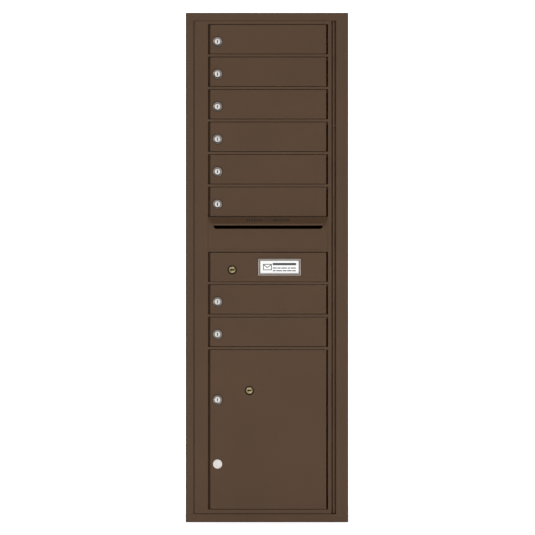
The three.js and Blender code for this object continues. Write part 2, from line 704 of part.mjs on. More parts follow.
addCabinet();
place("trim_frame", geometryOf(trimFrame()), bronzePaint);
addMasterDoor();
addLetterDoors();
addParcelDoor();

unit.position.y = -CABINET_DEPTH / 2;
export default unit;
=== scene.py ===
"""Looks of the recessed apartment mailbox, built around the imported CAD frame.

Metres, +Z up, front towards -Y. Shapes are written in mm, and MM turns them into metres.
"""

import json
import math

import bmesh
import bpy
from mathutils import Matrix, Vector


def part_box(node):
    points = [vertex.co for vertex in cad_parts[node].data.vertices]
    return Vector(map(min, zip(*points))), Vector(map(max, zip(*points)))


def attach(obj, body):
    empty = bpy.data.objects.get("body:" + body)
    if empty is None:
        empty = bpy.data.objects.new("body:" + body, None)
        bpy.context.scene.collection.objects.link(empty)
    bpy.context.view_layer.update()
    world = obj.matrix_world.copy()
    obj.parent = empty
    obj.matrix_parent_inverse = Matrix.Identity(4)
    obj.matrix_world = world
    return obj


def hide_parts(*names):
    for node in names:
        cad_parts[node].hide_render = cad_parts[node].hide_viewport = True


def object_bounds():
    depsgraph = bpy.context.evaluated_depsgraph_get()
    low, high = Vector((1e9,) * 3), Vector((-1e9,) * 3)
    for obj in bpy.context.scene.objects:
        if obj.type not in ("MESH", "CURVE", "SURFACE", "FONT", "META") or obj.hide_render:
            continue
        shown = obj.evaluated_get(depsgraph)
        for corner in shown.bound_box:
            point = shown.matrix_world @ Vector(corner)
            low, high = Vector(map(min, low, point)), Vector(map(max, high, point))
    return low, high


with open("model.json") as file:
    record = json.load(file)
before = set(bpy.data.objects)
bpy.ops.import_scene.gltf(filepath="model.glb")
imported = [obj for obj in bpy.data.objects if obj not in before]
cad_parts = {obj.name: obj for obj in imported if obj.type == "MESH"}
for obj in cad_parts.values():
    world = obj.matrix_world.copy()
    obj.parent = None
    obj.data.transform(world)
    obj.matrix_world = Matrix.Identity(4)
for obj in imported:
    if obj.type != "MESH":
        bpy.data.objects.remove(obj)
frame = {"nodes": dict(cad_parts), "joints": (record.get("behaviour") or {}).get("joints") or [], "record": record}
cad_low, cad_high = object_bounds()
MM = 0.001
LETTER_DOORS = range(1, 9)
SHELVES = range(1, 10)


# ---------------------------------------------------------------- places taken from the frame

def middle(node):
    low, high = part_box(node)
    return (low + high) / 2


def joint_place(name):
    return next(joint for joint in frame["joints"] if joint["name"] == name)["pos_m"]


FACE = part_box("master_door_frame")[0].y  # the leaves' front
FACE_MM = FACE / MM


# ---------------------------------------------------------------- materials

class Shader:
    """A material with its Principled shader, and short calls for the nodes that feed it."""

    def __init__(self, name, color, roughness, metallic=0.0):
        self.material = bpy.data.materials.new(name)
        self.material.use_nodes = True
        self.tree = self.material.node_tree
        self.shader = self.tree.nodes["Principled BSDF"]
        self.shader.inputs["Base Color"].default_value = (*color, 1)
        self.shader.inputs["Roughness"].default_value = roughness
        self.shader.inputs["Metallic"].default_value = metallic
        self.coords = self.tree.nodes.new("ShaderNodeTexCoord").outputs["Object"]

    def node(self, kind, **values):
        node = self.tree.nodes.new(kind)
        for key, value in values.items():
            if key in node.inputs:
                node.inputs[key].default_value = value
            else:
                setattr(node, key, value)
        return node

    def link(self, source, target):
        self.tree.links.new(source, target)

    def stretched(self, scale):
        mapping = self.node("ShaderNodeMapping", Scale=scale)
        self.link(self.coords, mapping.inputs["Vector"])
        return mapping.outputs["Vector"]

    def noise(self, scale, detail=3.0, roughness=0.5, stretch=(1, 1, 1)):
        noise = self.node("ShaderNodeTexNoise", Scale=scale, Detail=detail, Roughness=roughness)
        self.link(self.stretched(stretch), noise.inputs["Vector"])
        return noise.outputs["Fac"]

    def cells(self, scale):
        cells = self.node("ShaderNodeTexVoronoi", Scale=scale)
        self.link(self.coords, cells.inputs["Vector"])
        return cells.outputs["Distance"]

    def ramp(self, value, stops):
        """stops: [(position, colour or grey), ...]"""
        ramp = self.node("ShaderNodeValToRGB")
        while len(ramp.color_ramp.elements) < len(stops):
            ramp.color_ramp.elements.new(0.5)
        for element, (position, color) in zip(ramp.color_ramp.elements, stops):
            element.position = position
            element.color = (*color, 1) if isinstance(color, tuple) else (color, color, color, 1)
        self.link(value, ramp.inputs["Fac"])
        return ramp.outputs["Color"]

    def mix(self, factor, a, b, blend="MIX"):
        """a and b are sockets or colours; factor is a socket or a number."""
        mix = self.node("ShaderNodeMix", data_type="RGBA", blend_type=blend)
        for socket, value in ((mix.inputs[0], factor), (mix.inputs[6], a), (mix.inputs[7], b)):
            if isinstance(value, bpy.types.NodeSocket):
                self.link(value, socket)
            elif isinstance(value, tuple):
                socket.default_value = (*value, 1)
            else:
                socket.default_value = value
        return mix.outputs[2]

    def edges(self, radius):
        """1 on edges sharper than the radius, 0 on flat faces."""
        bevel = self.node("ShaderNodeBevel", samples=6, Radius=radius)
        geometry = self.node("ShaderNodeNewGeometry")
        dot = self.node("ShaderNodeVectorMath", operation="DOT_PRODUCT")
        self.link(bevel.outputs["Normal"], dot.inputs[0])
        self.link(geometry.outputs["Normal"], dot.inputs[1])
        return self.ramp(dot.outputs["Value"], [(0.86, 1.0), (0.985, 0.0)])

    def outside(self, low, high, soft):
        """Rises from 0 to 1 over a soft band just inside the X and Z limits low and high."""
        centre, half = (low + high) / 2, (high - low) / 2
        split = self.node("ShaderNodeSeparateXYZ")
        self.link(self.coords, split.inputs[0])
        reach = []
        for axis, at, size in (("X", centre.x, half.x), ("Z", centre.z, half.z)):
            shifted = self.node("ShaderNodeMath", operation="SUBTRACT")
            self.link(split.outputs[axis], shifted.inputs[0])
            shifted.inputs[1].default_value = at
            size_of = self.node("ShaderNodeMath", operation="ABSOLUTE")
            self.link(shifted.outputs[0], size_of.inputs[0])
            inside = self.node("ShaderNodeMath", operation="SUBTRACT")
            self.link(size_of.outputs[0], inside.inputs[0])
            inside.inputs[1].default_value = size - soft
            reach.append(inside.outputs[0])
        furthest = self.node("ShaderNodeMath", operation="MAXIMUM")
        for socket, value in zip(furthest.inputs, reach):
            self.link(value, socket)
        spread = self.node("ShaderNodeMapRange")
        spread.inputs["From Max"].default_value = soft * 0.6
        self.link(furthest.outputs[0], spread.inputs["Value"])
        return spread.outputs["Result"]

    def color(self, socket):
        self.link(socket, self.shader.inputs["Base Color"])

    def rough(self, socket, low, high):
        spread = self.node("ShaderNodeMapRange")
        spread.inputs["To Min"].default_value = low
        spread.inputs["To Max"].default_value = high
        self.link(socket, spread.inputs["Value"])
        self.link(spread.outputs["Result"], self.shader.inputs["Roughness"])

    def bump(self, layers):
        """layers: [(height socket, depth in metres), ...], coarsest first."""
        normal = None
        for socket, depth in layers:
            bump = self.node("ShaderNodeBump", Strength=1.0, Distance=depth)
            self.link(socket, bump.inputs["Height"])
            if normal is not None:
                self.link(normal, bump.inputs["Normal"])
            normal = bump.outputs["Normal"]
        self.link(normal, self.shader.inputs["Normal"])


COAT = (0.0790, 0.0430, 0.0218)  # the bronze colour
RIM_SHADE = (0.020, 0.014, 0.008)  # painted shade on the trim's outermost edge, where its rounding turns away from the light
RIM_SHADE_WIDTH = 2.6 * MM


def powder_coat(name, edge_color, edge_radius, tone=COAT, outline=None):
    """Powder coat: fine sandy grain over a slight orange peel, with another tone on its edges, lighter for a
    painted highlight (with some wear) or darker for painted shade, as the caller gives.

    outline is the low and high corner of a box, whose rim gets painted shade.
    """
    s = Shader(name, tone, 0.55)
    grain = s.noise(2600, detail=2)
    peel = s.noise(420, detail=1)
    drift = s.noise(5, detail=2)
    deep, light = (tuple(c * f for c in tone) for f in (0.965, 1.035))
    body = s.mix(s.ramp(drift, [(0.35, 0.0), (0.65, 1.0)]), deep, light)
    speckle = s.mix(s.ramp(grain, [(0.40, 0.0), (0.62, 1.0)]), (0.86, 0.86, 0.86), (1.12, 1.12, 1.12))
    body = s.mix(1.0, body, speckle, "MULTIPLY")
    # the edge tone: painted highlight or painted shade, by the caller's colour
    body = s.mix(s.edges(edge_radius), body, edge_color)
    # painted shade round the box's rim
    if outline:
        body = s.mix(s.outside(*outline, RIM_SHADE_WIDTH), body, RIM_SHADE)
    s.color(body)
    s.rough(grain, 0.50, 0.64)
    s.bump([(peel, 0.05 * MM), (grain, 0.035 * MM)])
    s.shader.inputs["Specular IOR Level"].default_value = 0.22
    return s.material


def mill_aluminium():
    """Bare sheet: faint rolling streaks, smudges and small scratches."""
    s = Shader("mill_aluminium", (0.40, 0.41, 0.42), 0.42, metallic=1.0)
    streaks = s.noise(90, detail=6, roughness=0.6, stretch=(14, 14, 0.35))
    smudge = s.noise(7, detail=4)
    scratch = s.noise(260, detail=4, roughness=0.7, stretch=(1, 0.08, 3))
    tone = s.mix(s.ramp(streaks, [(0.35, 0.0), (0.65, 1.0)]), (0.33, 0.34, 0.35), (0.46, 0.47, 0.48))
    s.color(s.mix(s.ramp(smudge, [(0.45, 0.0), (0.75, 0.35)]), tone, (0.30, 0.30, 0.30)))
    s.rough(smudge, 0.34, 0.56)
    s.bump([(streaks, 0.02 * MM), (scratch, 0.012 * MM)])
    return s.material


def plated(name, color, dull, roughness, wear=(0.45, 0.75), metallic=1.0):
    """Plated metal with dull handling marks and fine scratches."""
    s = Shader(name, color, roughness, metallic=metallic)
    marks = s.noise(700, detail=5, roughness=0.65)
    smudge = s.noise(160, detail=3)
    s.color(s.mix(s.ramp(smudge, [(wear[0], 0.0), (wear[1], 1.0)]), color, dull))
    s.rough(marks, roughness - 0.08, roughness + 0.12)
    s.bump([(smudge, 0.01 * MM), (marks, 0.008 * MM)])
    return s.material


def dark_cavity(name, low, high):
    """Blackened steel, with tiny pits; the near-black copies serve as painted shade."""
    s = Shader(name, low, 0.5, metallic=0.6)
    pits = s.noise(900, detail=4)
    s.color(s.mix(pits, low, high))
    s.rough(pits, 0.40, 0.65)
    s.bump([(pits, 0.02 * MM)])
    return s.material


def silver_lacquer(name, bright, dull):
    """Lacquer with fine metal flakes."""
    s = Shader(name, bright, 0.34, metallic=0.25)
    flake = s.cells(3000)
    s.color(s.mix(flake, bright, dull))
    s.rough(flake, 0.28, 0.42)
    s.bump([(flake, 0.004 * MM)])
    return s.material


def card_stock():
    """White card with faint fibres."""
    s = Shader("label_card", (0.90, 0.90, 0.89), 0.55)
    fibre = s.noise(1500, detail=4, stretch=(0.3, 1, 1))
    s.color(s.mix(fibre, (0.88, 0.88, 0.87), (0.94, 0.94, 0.93)))
    s.rough(fibre, 0.5, 0.65)
    s.bump([(fibre, 0.006 * MM)])
    return s.material


def print_ink(name, color):
    """Printed ink, laid on a little unevenly."""
    s = Shader(name, color, 0.6)
    patch = s.noise(900, detail=3)
    s.color(s.mix(patch, tuple(c * 0.8 for c in color), tuple(min(1, c * 1.2) for c in color)))
    s.rough(patch, 0.5, 0.7)
    return s.material


# lighter edges: partly wear, partly a painted highlight
bronze = powder_coat("bronze_powder_coat", (0.095, 0.056, 0.032), 0.6 * MM)
# the trim's dark edge tone and dark outer rim are painted shade, where its edges round away from the light
trim_bronze = powder_coat("trim_powder_coat", (0.030, 0.022, 0.015), 1.6 * MM,
                          outline=(cad_low, cad_high))
# the hood's raised marks: the darker tone is painted shade and the pale edges a painted highlight of the relief
relief_bronze = powder_coat("relief_powder_coat", (0.15, 0.11, 0.085), 0.5 * MM,
                            tone=(0.040, 0.026, 0.018))
aluminium = mill_aluminium()
nickel = plated("nickel_plate", (0.78, 0.74, 0.70), (0.68, 0.645, 0.61), 0.30)
button_nickel = plated("button_nickel", (0.70, 0.66, 0.63), (0.60, 0.56, 0.53), 0.55, metallic=0.35)
# a darker copy of the nickel for the bezel: painted shade, so that its reflections come out grey and dark
shaded_bezel_nickel = plated("shaded_bezel_nickel", (0.21, 0.185, 0.17), (0.12, 0.105, 0.095), 0.30)
brass = plated("lock_brass", (0.50, 0.41, 0.22), (0.30, 0.22, 0.09), 0.30, wear=(0.42, 0.62))
zinc = plated("zinc_steel", (0.52, 0.53, 0.55), (0.38, 0.38, 0.37), 0.38)
case_steel = dark_cavity("lock_case_steel", (0.030, 0.025, 0.018), (0.085, 0.072, 0.055))
silver = silver_lacquer("silver_frame", (0.50, 0.45, 0.41), (0.40, 0.36, 0.33))
# a dark copy of the silver lacquer for the groove between the label frame's beads: painted shade
groove_shade = silver_lacquer("frame_groove_shade", (0.085, 0.07, 0.06), (0.06, 0.05, 0.04))
card = card_stock()
ink = print_ink("label_ink", (0.05, 0.05, 0.055))
# near-black painted shade for the key slots' liners, the locks' shadow gaskets and the shade deflector
shade_black = dark_cavity("shade_black", (0.006, 0.004, 0.003), (0.014, 0.010, 0.007))
# painted shade: the dark brassy ring round each arrow lock's plug
seat_shade = dark_cavity("seat_shade", (0.014, 0.008, 0.002), (0.032, 0.018, 0.005))

SLOT_MATERIALS = {
    "bronze_powder_coat": bronze,
    "mill_aluminium": aluminium,
    "nickel_plate": nickel,
    "lock_brass": brass,
    "zinc_steel": zinc,
    "lock_case_steel": case_steel,
    "silver_frame": silver,
    "label_card": card,
}


# ---------------------------------------------------------------- the CAD nodes' finish

def coat_node(node, material):
    """The node's own material, its mesh as it is."""
    obj = frame["nodes"][node]
    obj.data.materials.clear()
    obj.data.materials.append(material)
    return obj


def finish_node(node, material, width):
    """The node's own material, and its edges rounded by modifiers."""
    obj = coat_node(node, material)
    weld = obj.modifiers.new("weld", "WELD")
    weld.merge_threshold = 0.01 * MM
    planes = obj.modifiers.new("planes", "DECIMATE")
    planes.decimate_type = "DISSOLVE"
    planes.angle_limit = math.radians(0.5)
    bevel = obj.modifiers.new("round", "BEVEL")
    bevel.width = width
    bevel.segments = 3
    bevel.limit_method = "ANGLE"
    bevel.angle_limit = math.radians(35)
    bevel.use_clamp_overlap = True
    bevel.harden_normals = True


ROUNDING = {
    "bronze_powder_coat": 0.6 * MM,
    "mill_aluminium": 0.3 * MM,
    "silver_frame": 0.5 * MM,
    "lock_case_steel": 0.8 * MM,
}
SMALL_ROUNDING = 0.2 * MM  # of the slots that aren't listed
COATED_ONLY = {"trim_frame": trim_bronze, "master_hinge_pin": case_steel}  # no modifiers

for part in frame["record"]["subparts"]:
    slot_name = part["material_slot"]
    if part["node"] in COATED_ONLY:
        coat_node(part["node"], COATED_ONLY[part["node"]])
    else:
        finish_node(part["node"], SLOT_MATERIALS[slot_name], ROUNDING.get(slot_name, SMALL_ROUNDING))


# ---------------------------------------------------------------- shapes of the added pieces

TURNS = 56  # sides of a turned piece
SHARP = math.radians(32)  # edges that turn more than this stay crisp
DOUBLES = 0.002 * MM  # points nearer than this are one
ON_AXIS = 0.01  # the radius in mm at which a solid turned piece meets its axis


def softened(points, radius, closed=False):
    """The points with each corner replaced by a small curve."""
    count = len(points)
    result = []
    for i, corner in enumerate(points):
        if not closed and i in (0, count - 1):
            result.append(corner)
            continue
        before, after = Vector(points[i - 1]), Vector(points[(i + 1) % count])
        at = Vector(corner)
        reach_a = min(radius, (before - at).length * 0.45)
        reach_b = min(radius, (after - at).length * 0.45)
        a = at + (before - at).normalized() * reach_a
        b = at + (after - at).normalized() * reach_b
        for t in (0, 0.33, 0.67, 1):
            result.append(tuple((1 - t) ** 2 * a + 2 * t * (1 - t) * at + t ** 2 * b))
    return result


def smooth(mesh):
    mesh.shade_smooth()
    mesh.set_sharp_from_angle(angle=SHARP)
    return mesh


def mesh_of(name, verts, faces):
    """A mesh from points in mm, closed up and facing outwards."""
    mesh = bpy.data.meshes.new(name)
    mesh.from_pydata([Vector(v) * MM for v in verts], [], faces)
    work = bmesh.new()
    work.from_mesh(mesh)
    bmesh.ops.remove_doubles(work, verts=work.verts, dist=DOUBLES)
    bmesh.ops.recalc_face_normals(work, faces=work.faces)
    work.to_mesh(mesh)
    work.free()
    return smooth(mesh)


def along(axis, u, v, depth):
    """A point from its two coordinates across an axis and its place along that axis."""
    return {"Y": (u, depth, v), "Z": (u, v, depth)}[axis]


def turned(name, profile, axis="Y", closed=True):
    """A profile turned about an axis. profile: [(radius, place along the axis), ...] in mm.

    closed joins its last point to its first.
    """
    verts, faces = [], []
    for radius, depth in profile:
        for k in range(TURNS):
            a = 2 * math.pi * k / TURNS
            verts.append(along(axis, radius * math.cos(a), radius * math.sin(a), depth))
    rows = len(profile)
    for i in range(rows if closed else rows - 1):
        j = (i + 1) % rows
        for k in range(TURNS):
            m = (k + 1) % TURNS
            faces.append((i * TURNS + k, i * TURNS + m, j * TURNS + m, j * TURNS + k))
    return mesh_of(name, verts, faces)


def rod(name, radius, start, end, soft):
    """A solid round bar along Y with softened ends."""
    profile = [(ON_AXIS, start), (radius, start), (radius, end), (ON_AXIS, end)]
    return turned(name, softened(profile, soft), closed=False)


def circle(radius, sides=64):
    angles = [2 * math.pi * k / sides for k in range(sides)]
    return [(radius * math.cos(a), radius * math.sin(a)) for a in angles]


def scaled(outline, factor):
    return [(x * factor, z * factor) for x, z in outline]


def rounded_box(half_x, half_z, corner, x=0.0, z=0.0, steps=6):
    points = []
    for quarter, (sx, sz) in enumerate(((1, 1), (-1, 1), (-1, -1), (1, -1))):
        for k in range(steps + 1):
            a = math.pi / 2 * (quarter + k / steps)
            points.append((x + sx * (half_x - corner) + corner * math.cos(a),
                           z + sz * (half_z - corner) + corner * math.sin(a)))
    return points


def plate(name, outlines, front, back, bevel):
    """Outlines in X and Z, the first solid and the rest holes, cut from a plate with softened edges."""
    curve = bpy.data.curves.new(name, "CURVE")
    curve.dimensions = "2D"
    curve.fill_mode = "BOTH"
    curve.extrude = (back - front) / 2 * MM - bevel * MM
    curve.bevel_depth = bevel * MM
    curve.bevel_resolution = 3
    curve.offset = -bevel * MM
    for outline in outlines:
        spline = curve.splines.new("POLY")
        spline.points.add(len(outline) - 1)
        for point, (x, z) in zip(spline.points, outline):
            point.co = (x * MM, z * MM, 0, 1)
        spline.use_cyclic_u = True
    holder = bpy.data.objects.new(name, curve)
    mesh = bpy.data.meshes.new_from_object(holder)
    bpy.data.objects.remove(holder)
    bpy.data.curves.remove(curve)
    upright = Matrix.Rotation(math.pi / 2, 4, "X")
    mesh.transform(Matrix.Translation((0, (front + back) / 2 * MM, 0)) @ upright)
    return smooth(mesh)


def bar(name, low, high, radius):
    """A bar between two corners, its edges rounded."""
    mesh = bpy.data.meshes.new(name)
    work = bmesh.new()
    bmesh.ops.create_cube(work, size=1)
    for v in work.verts:
        v.co = Vector([(l + h) / 2 + c * (h - l) for l, h, c in zip(low, high, v.co)]) * MM
    bmesh.ops.bevel(work, geom=work.edges[:], offset=radius * MM, segments=3, profile=0.5,
                    affect="EDGES")
    work.to_mesh(mesh)
    work.free()
    return smooth(mesh)


def merged(name, meshes, places=None):
    """One mesh of several, each moved to its place (in mm)."""
    work = bmesh.new()
    for i, mesh in enumerate(meshes):
        copy = mesh.copy()
        if places:
            copy.transform(Matrix.Translation(Vector(places[i]) * MM))
        work.from_mesh(copy)
        bpy.data.meshes.remove(copy)
    result = bpy.data.meshes.new(name)
    work.to_mesh(result)
    work.free()
    return result


def picture_frame(name, half_x, half_z, corner, profile, back):
    """A moulding swept round a rectangle.

    profile: [(in from the outer edge, rise from the back), ...] in mm.
    """
    verts, faces = [], []
    for inset, rise in profile:
        outline = rounded_box(half_x - inset, half_z - inset, max(corner - inset, 0.15))
        verts += [(x, back - rise, z) for x, z in outline]
    around = len(outline)
    rows = len(profile)
    for i in range(rows):
        j = (i + 1) % rows
        for k in range(around):
            m = (k + 1) % around
            faces.append((i * around + k, i * around + m, j * around + m, j * around + k))
    return mesh_of(name, verts, faces)


def show(name, mesh, material, body, at=(0, 0, 0), stands_for=()):
    """Puts a mesh in the scene on its body. at is in metres."""
    if not mesh.materials:
        mesh.materials.append(material)
    obj = bpy.data.objects.new(name, mesh)
    obj.location = at
    bpy.context.scene.collection.objects.link(obj)
    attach(obj, body)
    if stands_for:
        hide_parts(*stands_for)
    return obj


# ---------------------------------------------------------------- keyed locks

# Depths of the locks' pieces are in mm behind the leaves' front, so whatever stands proud has a minus.
BEZEL = {"rim": 13.0, "rise": 2.5, "barrel": 9.5, "root": 9.0, "bore": 8.15, "back": 18.0,
         "pitch": 1.0}
BARREL_HOLE = 9.6  # radius of the holes that the barrel passes
KEY_PLUG = {"r": 7.85, "front": -2.2, "face_back": 2.5,
            "stem_r": 7.6, "stem_front": 2.2, "stem_back": 18.6}
# painted shade: a near-black liner inside each keyway
KEYWAY_SHADE_LINER = {"half_x": 1.8, "half_z": 4.7, "front": -1.5, "depth": 3.4}
CAM = {"half_width": 7.0, "reach": 31.0, "blade": 2.5, "washer_r": 6.2, "washer": 0.5,
       "nut": 1.6, "nut_corner": 4.958, "screw_r": 2.6}
LOCK_NUT = {"corner": 13.4, "front": 2.8, "back": 7.3}
# painted shadow: a thin near-black ring round each lock's bezel, shaped as a gasket
SHADOW_GASKET = {"r": 14.2, "front": -0.28, "back": -0.02}
HEX = [(math.cos(math.pi / 3 * k), math.sin(math.pi / 3 * k)) for k in range(6)]


def behind(profile):
    """The profile with its depths counted from the leaves' front."""
    return [(radius, FACE_MM + depth) for radius, depth in profile]


def face_plate(name, outlines, front, back, bevel):
    """A plate between two depths behind the leaves' front."""
    return plate(name, outlines, FACE_MM + front, FACE_MM + back, bevel)


def face_rod(name, radius, start, end, soft):
    """A rod between two depths behind the leaves' front."""
    return rod(name, radius, FACE_MM + start, FACE_MM + end, soft)


def threads(radius, root, length, pitch):
    """The zigzag of a thread's profile, from 0."""
    points = []
    for k in range(int(length / pitch)):
        points += [(root, pitch * k), (radius, pitch * (k + 0.5))]
    return points


def lock_bezel():
    """A domed rim, then the threaded barrel down to its open end."""
    rim, rise, bore, back = BEZEL["rim"], BEZEL["rise"], BEZEL["bore"], BEZEL["back"]
    front = behind([(bore, -0.7), (bore + 0.5, -1.2), (rim - 1.5, 0.05 - rise), (rim - 0.6, -rise),
                    (rim, 0.9 - rise), (rim, -0.3), (BARREL_HOLE, -0.3)])
    screw = behind(threads(BEZEL["barrel"], BEZEL["root"], back - 0.5, BEZEL["pitch"]))
    end = behind([(BEZEL["root"], back), (bore, back)])
    return turned("lock_bezel", softened(front, 0.3) + screw + end)


def keyway_outline():
    """A narrow slot with the two side steps that a key's grooves pass."""
    right = [(1.1, 4.4), (1.1, 1.7), (1.7, 1.3), (1.7, 0.1), (1.1, -0.3), (1.1, -4.4)]
    left = [(-1.1, -4.4), (-1.1, -2.3), (-1.5, -2.0), (-1.5, -1.0), (-1.1, -0.6), (-1.1, 4.4)]
    return softened(right + left, 0.25, closed=True)


def key_plug():
    """The plug's face with its keyway, on a solid stem."""
    outlines = [circle(KEY_PLUG["r"]), keyway_outline()]
    face = face_plate("plug_face", outlines, KEY_PLUG["front"], KEY_PLUG["face_back"], 0.35)
    stem = face_rod("plug_stem", KEY_PLUG["stem_r"], KEY_PLUG["stem_front"], KEY_PLUG["stem_back"], 0.3)
    return merged("key_plug", [face, stem])


def cavity(name, half_x, half_z, front, depth):
    """A thin-walled box that lines a key's slot; its near-black colour is painted shade, so that the slot reads
    dark.
    """
    wall, floor_depth, bevel = 0.35, 0.2, 0.05
    outer = rounded_box(half_x, half_z, 0.4)
    inner = rounded_box(half_x - wall, half_z - wall, 0.2)
    walls = face_plate(f"{name}_walls", [outer, inner], front, front + depth, bevel)
    floor = face_plate(f"{name}_floor", [outer], front + depth - floor_depth, front + depth, bevel)
    return merged(name, [walls, floor])


def key_cam():
    """A flat steel cam with rounded ends, and the washer, the nut and the screw's end that hold it."""
    half, reach = CAM["half_width"], CAM["reach"]
    top = [(half * math.cos(a), half * math.sin(a)) for a in [math.pi * k / 20 for k in range(21)]]
    bottom = [(-x, half - reach - z) for x, z in top]
    blade_at = KEY_PLUG["stem_back"]
    washer_at = blade_at + CAM["blade"]
    nut_at = washer_at + CAM["washer"]
    nut_back = nut_at + CAM["nut"]
    blade = face_plate("cam_blade", [top + bottom], blade_at, washer_at, 0.35)
    washer = face_rod("cam_washer", CAM["washer_r"], washer_at, nut_at, 0.15)
    nut = face_plate("cam_nut", [scaled(HEX, CAM["nut_corner"])], nut_at, nut_back, 0.3)
    screw_r = CAM["screw_r"]
    tip = behind([(screw_r, nut_back - 0.2), (screw_r, nut_back + 0.35), (ON_AXIS, nut_back + 0.4)])
    screw_end = turned("cam_screw", softened(tip, 0.2), closed=False)
    return merged("key_cam", [blade, washer, nut, screw_end])


def add_key_locks():
    bezel, plug, cam = lock_bezel(), key_plug(), key_cam()
    liner = cavity("keyway_shade_liner", **KEYWAY_SHADE_LINER)
    nut_outlines = [scaled(HEX, LOCK_NUT["corner"]), circle(BARREL_HOLE)]
    nut = face_plate("lock_nut", nut_outlines, LOCK_NUT["front"], LOCK_NUT["back"], 0.6)
    shadow_gasket_outlines = [circle(SHADOW_GASKET["r"]), circle(BARREL_HOLE)]
    shadow_gasket = face_plate("lock_shadow_gasket", shadow_gasket_outlines, SHADOW_GASKET["front"], SHADOW_GASKET["back"], 0.04)
    locks = [(f"letter_lock_body_{i}", f"letter_lock_plug_{i}", f"letter_door_{i}",
              f"letter_key_plug_{i}") for i in LETTER_DOORS]
    locks.append(("parcel_lock_body", "parcel_lock_plug", "parcel_door", "parcel_key_plug"))
    for body_node, plug_node, door, turning in locks:
        centre = middle(body_node)
        at = (centre.x, 0, centre.z)
        show(f"{body_node}_turned", bezel, shaded_bezel_nickel, door, at, [body_node])
        show(f"{body_node}_nut", nut, zinc, door, at)
        # the painted shadow ring round the bezel
        show(f"{body_node}_gasket", shadow_gasket, shade_black, door, at)
        show(f"{plug_node}_turned", plug, nickel, turning, at, [plug_node])
        show(f"{plug_node}_liner", liner, shade_black, turning, at)
        show(f"{plug_node}_cam", cam, zinc, turning, at)


# ---------------------------------------------------------------- arrow locks and the blank plug

ARROW = {"r": 8.9, "rim_inner": 6.6, "hub_r": 6.4, "front": 1.5, "hub": 3.2, "barrel": 15.4}
ARROW_SLOT = {"half_x": 5.9, "half_z": 2.2, "corner": 1.5}
# painted shade: a near-black liner inside each arrow lock's slot
ARROW_SHADE_LINER = {"half_x": 6.0, "half_z": 2.3, "front": ARROW["front"] + 0.8, "depth": 2.2}
ARROW_DISC = {"r": 10.7, "front": 17.0, "back": 19.8}
ARROW_PIN = {"r": 2.0, "front": 19.6, "back": 24.5, "off": 5.5}
STUD = {"off_x": 35.7, "off_z": 15.7, "r": 1.6, "nut_corner": 4.02, "nut": 2.4}


def arrow_plug():
    """A grooved brass face with its key slot, then the barrel, the disc and the crank pin."""
    r, inner, front = ARROW["r"], ARROW["rim_inner"], ARROW["front"]
    slot = rounded_box(ARROW_SLOT["half_x"], ARROW_SLOT["half_z"], ARROW_SLOT["corner"])
    hub = face_plate("arrow_hub", [circle(ARROW["hub_r"]), slot], front, front + ARROW["hub"], 0.3)
    back = front + ARROW["barrel"]
    rim = behind([(inner, front + 1.4), (inner, front + 0.2), (inner + 0.4, front), (r - 0.5, front),
                  (r, front + 0.6), (r, back), (inner, back)])
    ring = turned("arrow_rim", softened(rim, 0.25))
    floor_profile = behind([(ON_AXIS, front + 3.0), (r - 0.4, front + 3.0)])
    floor = turned("arrow_floor", floor_profile, closed=False)
    disc = face_rod("arrow_disc", ARROW_DISC["r"], ARROW_DISC["front"], ARROW_DISC["back"], 0.4)
    pin = face_rod("arrow_pin", ARROW_PIN["r"], ARROW_PIN["front"], ARROW_PIN["back"], 0.35)
    places = [(0, 0, 0)] * 4 + [(ARROW_PIN["off"], 0, -ARROW_PIN["off"])]
    return merged("arrow_plug", [hub, ring, floor, disc, pin], places)


def arrow_seat():
    """The dished ring that the arrow lock's plug stands in; its near-black colour is painted shade of the recess
    round the plug.
    """
    profile = behind([(9.3, 1.9), (12.1, -0.05), (13.0, -0.25), (13.1, -0.02), (12.2, 0.1), (12.2, 2.4),
                      (9.3, 2.4)])
    return turned("arrow_seat", softened(profile, 0.2))


def stud_dimple():
    """The shallow dimple that a welded stud leaves in the leaf's front."""
    profile = behind([(ON_AXIS, 0.22), (1.6, 0.2), (2.6, -0.01), (3.15, -0.04), (3.2, 0.1)])
    return turned("stud_dimple", softened(profile, 0.25), closed=False)


def stud_with_nut():
    """A stud's end in its nut, from 0 towards +Y."""
    r, nut_back = STUD["r"], STUD["nut"]
    nut = plate("stud_nut", [scaled(HEX, STUD["nut_corner"]), circle(r + 0.1)], 0, nut_back, 0.3)
    tip = [(r, 0.5), (r, nut_back + 0.5), (r - 0.4, nut_back + 0.7), (ON_AXIS, nut_back + 0.7)]
    end = turned("stud_end", softened(tip, 0.2), closed=False)
    return merged("stud", [nut, end])


def add_arrow_locks():
    plug, seat, dimple, stud = arrow_plug(), arrow_seat(), stud_dimple(), stud_with_nut()
    liner = cavity("arrow_shade_liner", **ARROW_SHADE_LINER)
    corners = ((-1, -1), (1, -1), (-1, 1), (1, 1))
    for prefix, door, turning in (("master", "master_door", "master_arrow_plug"),
                                  ("parcel", "parcel_door", "parcel_arrow_plug")):
        centre = middle(f"{prefix}_arrow_lock_case")
        case_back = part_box(f"{prefix}_arrow_lock_case")[1].y
        at = (centre.x, 0, centre.z)
        show(f"{prefix}_arrow_plug_turned", plug, brass, turning, at,
             [f"{prefix}_arrow_lock_plug"])
        show(f"{prefix}_arrow_shade_liner", liner, shade_black, turning, at)
        show(f"{prefix}_arrow_seat", seat, seat_shade, door, at)
        for i, (sx, sz) in enumerate(corners):
            x = centre.x + sx * STUD["off_x"] * MM
            z = centre.z + sz * STUD["off_z"] * MM
            show(f"{prefix}_stud_dimple_{i}", dimple, bronze, door, (x, 0, z))
            show(f"{prefix}_stud_{i}", stud, zinc, door, (x, case_back, z))


